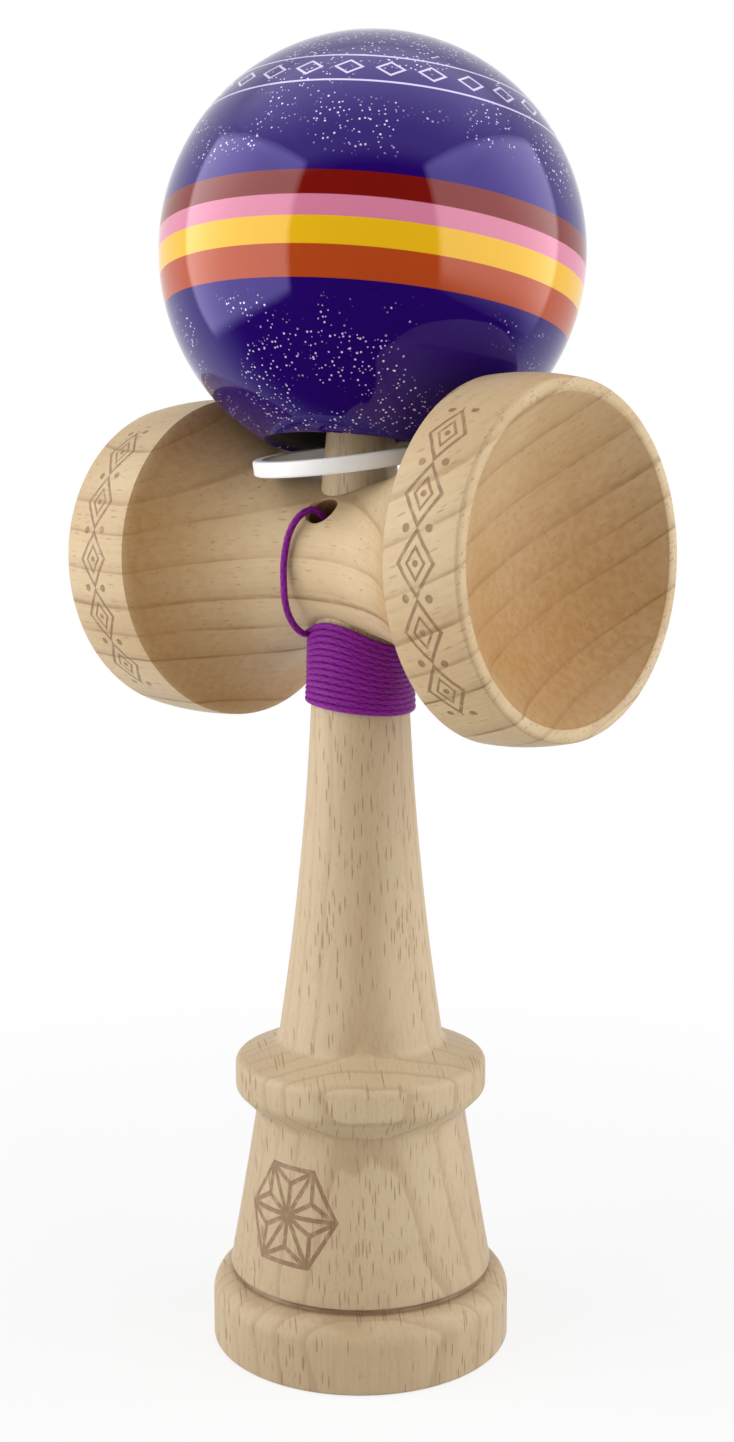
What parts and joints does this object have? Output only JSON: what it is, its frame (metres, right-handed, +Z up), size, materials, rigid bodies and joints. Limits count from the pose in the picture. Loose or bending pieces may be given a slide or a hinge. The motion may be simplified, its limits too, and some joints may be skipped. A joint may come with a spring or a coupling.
{
  "type": "kendama",
  "caption": "Wooden ball-and-cup skill toy: turned handle with spike and base cup, cross cup, lacquered ball on the spike, loose ring, and the cord wound round the neck.",
  "frame": {"origin": "middle of the base's resting rim, on the handle's axis", "axes": "+Z up the handle towards the spike, +X towards the big cup, -Y towards the side where the cord leaves the crosspiece"},
  "size_m": [0.0759, 0.0614, 0.1874],
  "materials": {
    "beech": "oiled matt, fine flecks",
    "cup_wood": "oiled matt, growth lines",
    "lacquer": "gloss lacquer with stripes and white specks",
    "ring_white": "satin",
    "bead_wood": "bare",
    "cord": "braided"
  },
  "bodies": {
    "handle": {"ken": "beech", "crosspiece": "cup_wood", "string_lead": "cord", "string_winding": "cord", "string_rise": "cord"},
    "cord_end": {"bead": "bead_wood", "string_drape": "cord"},
    "ball": {"ball": "lacquer"},
    "ring": {"spacer_ring": "ring_white"}
  },
  "joints": [
    {"name": "ball_lift", "type": "slide", "parent": "handle", "child": "cord_end", "axis": [0, 0, 1], "range_m": [0, 0.06], "deforming": ["string_rise"]},
    {"name": "ball_spin", "type": "hinge", "parent": "cord_end", "child": "ball", "pos_m": [0, 0.0025, 0.15638], "axis": [0, 0.1271, 0.9919], "continuous": true},
    {"name": "ring_spin", "type": "hinge", "parent": "handle", "child": "ring", "pos_m": [0, -0.004, 0.1281], "axis": [0, -0.1616, 0.9869], "continuous": true}
  ]
}
